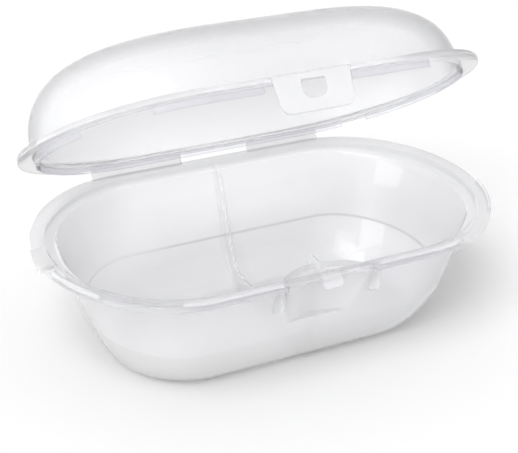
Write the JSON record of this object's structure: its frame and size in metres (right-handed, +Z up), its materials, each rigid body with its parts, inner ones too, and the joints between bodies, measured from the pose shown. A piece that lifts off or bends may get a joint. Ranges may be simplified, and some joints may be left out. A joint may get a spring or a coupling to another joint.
{
  "type": "pacifier carry case",
  "caption": "Clear hinged plastic carry case for a pacifier: deep oblong tray with a divider, domed flip lid on strap hinges and a flexing snap latch.",
  "frame": {"origin": "centre of the flat underside of the tray's floor, which stands on the surface", "axes": "+X along the case, +Y from the latch towards the hinge, +Z up"},
  "size_m": [0.1276, 0.0769, 0.0871],
  "materials": {
    "tray_plastic": "clear polypropylene, satin inside, faint haze",
    "lid_plastic": "clear polypropylene, glossy, faint haze",
    "rim_plastic": "clear polypropylene, thicker and milkier at the edges",
    "latch_plastic": "frosted natural polypropylene",
    "hinge_plastic": "thin flexed polypropylene, whitened a little by bending"
  },
  "bodies": {
    "tray": {"base_tray": "tray_plastic", "base_rim": "rim_plastic", "rim_beads_front": "rim_plastic", "rim_lips_end": "rim_plastic", "grip_nib": "rim_plastic", "divider_fin": "tray_plastic", "latch_guides": "rim_plastic", "latch_catch": "rim_plastic", "hinge_leaves_base": "hinge_plastic", "hinge_web_left": "hinge_plastic", "hinge_web_right": "hinge_plastic"},
    "lid": {"lid_dome": "lid_plastic", "lid_rim": "rim_plastic", "lid_skirt_front_left": "rim_plastic", "lid_skirt_front_right": "rim_plastic", "lid_skirt_left": "rim_plastic", "lid_skirt_back": "rim_plastic", "lid_skirt_right": "rim_plastic", "hinge_leaves_lid": "hinge_plastic"},
    "latch": {"latch_tab": "latch_plastic"}
  },
  "joints": [
    {"name": "lid_hinge", "type": "hinge", "parent": "tray", "child": "lid", "pos_m": [0, 0.0388, 0.0345], "axis": [-1, 0, 0], "range_deg": [-36.9, 143.1]},
    {"name": "latch_flex", "type": "hinge", "parent": "lid", "child": "latch", "pos_m": [0, -0.02033, 0.08033], "axis": [-1, 0, 0], "range_deg": [0, 14], "stiffness_Nm_per_rad": 0.03}
  ]
}
